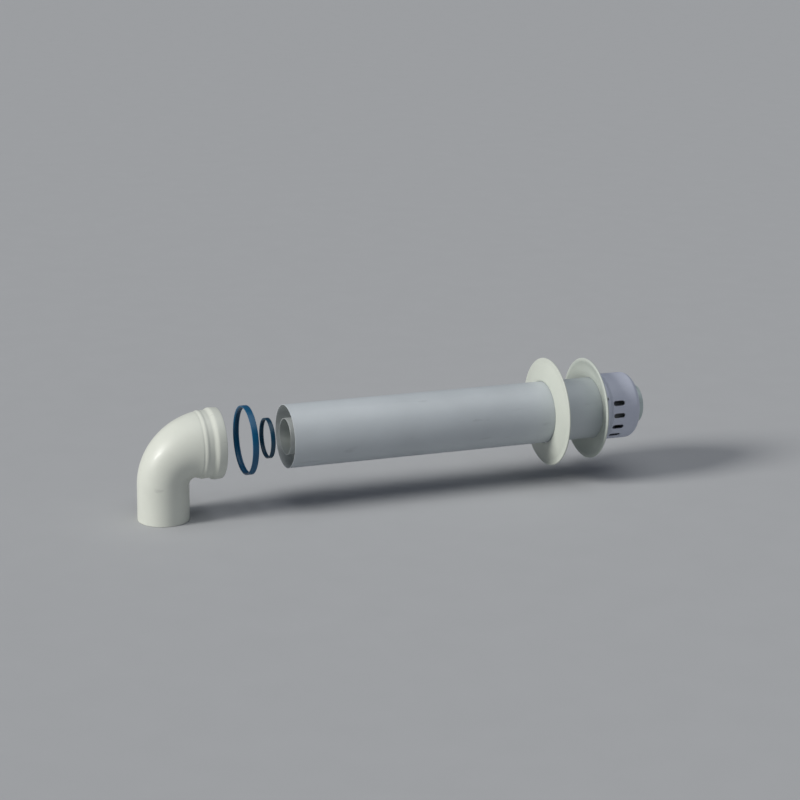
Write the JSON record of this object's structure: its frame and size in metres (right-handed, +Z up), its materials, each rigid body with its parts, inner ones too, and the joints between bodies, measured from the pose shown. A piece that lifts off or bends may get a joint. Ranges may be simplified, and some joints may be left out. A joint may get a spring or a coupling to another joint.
{
  "type": "horizontal concentric boiler flue kit with elbow",
  "caption": "Concentric boiler flue kit laid out in line: elbow with ridged collar, two ring seals, twin-wall duct, wall plates and slotted terminal.",
  "frame": {"origin": "centre of the elbow's open lower end, where the boiler's outlet enters", "axes": "+X along the duct from the elbow to the outdoor terminal, +Z up, so -Z points out of the elbow's lower end"},
  "size_m": [0.846, 0.176, 0.202],
  "materials": {
    "casing": "satin cream powder coat",
    "duct": "satin white powder coat",
    "flue": "dull drawn aluminium",
    "spacer": "moulded grey plastic",
    "large_seal": "semi-matt blue silicone rubber",
    "small_seal": "semi-matt dark blue silicone rubber",
    "boiler_seal": "matt black rubber",
    "terminal": "matt off-white weatherproof plastic",
    "outlet": "weathered aluminium",
    "screw": "plain steel",
    "indoor_plate": "smooth cream moulded plastic",
    "outdoor_plate": "smooth stone-grey moulded plastic"
  },
  "bodies": {
    "elbow": {"boiler_spigot": "casing", "elbow_bend": "casing", "elbow_collar": "casing", "flue_bend": "flue", "boiler_flue_socket": "flue", "duct_flue_socket": "flue", "boiler_flue_seal": "boiler_seal", "leg_spacer": "spacer", "collar_spacer": "spacer"},
    "large_seal": {"large_seal": "large_seal"},
    "small_seal": {"small_seal": "small_seal"},
    "swivel_spacer": {"swivel_spacer": "spacer"},
    "duct": {"air_duct": "duct", "flue_pipe": "flue", "middle_spacer": "spacer", "outer_spacer": "spacer", "terminal_sleeve": "terminal", "terminal_end": "terminal", "terminal_outlet": "outlet", "terminal_spacer": "spacer", "terminal_screws": "screw"},
    "indoor_wall_plate": {"indoor_wall_plate": "indoor_plate"},
    "outdoor_wall_plate": {"outdoor_wall_plate": "outdoor_plate"}
  },
  "joints": [
    {"name": "duct_push_in", "type": "slide", "parent": "elbow", "child": "swivel_spacer", "axis": [-1, 0, 0], "range_m": [0, 0.132]},
    {"name": "duct_swivel", "type": "hinge", "parent": "swivel_spacer", "child": "duct", "pos_m": [0.236, 0, 0.114], "axis": [1, 0, 0], "continuous": true},
    {"name": "large_seal_slide", "type": "slide", "parent": "elbow", "child": "large_seal", "axis": [-1, 0, 0], "range_m": [0, 0.0531]},
    {"name": "small_seal_slide", "type": "slide", "parent": "elbow", "child": "small_seal", "axis": [-1, 0, 0], "range_m": [0, 0.0911]},
    {"name": "indoor_plate_slide", "type": "slide", "parent": "duct", "child": "indoor_wall_plate", "axis": [1, 0, 0], "range_m": [-0.3, 0.02]},
    {"name": "outdoor_plate_slide", "type": "slide", "parent": "duct", "child": "outdoor_wall_plate", "axis": [1, 0, 0], "range_m": [-0.025, 0.003]}
  ],
  "couplings": [
    {"joint": "large_seal_slide", "follows": "duct_push_in", "ratio": 0.4015},
    {"joint": "small_seal_slide", "follows": "duct_push_in", "ratio": 0.6893}
  ]
}
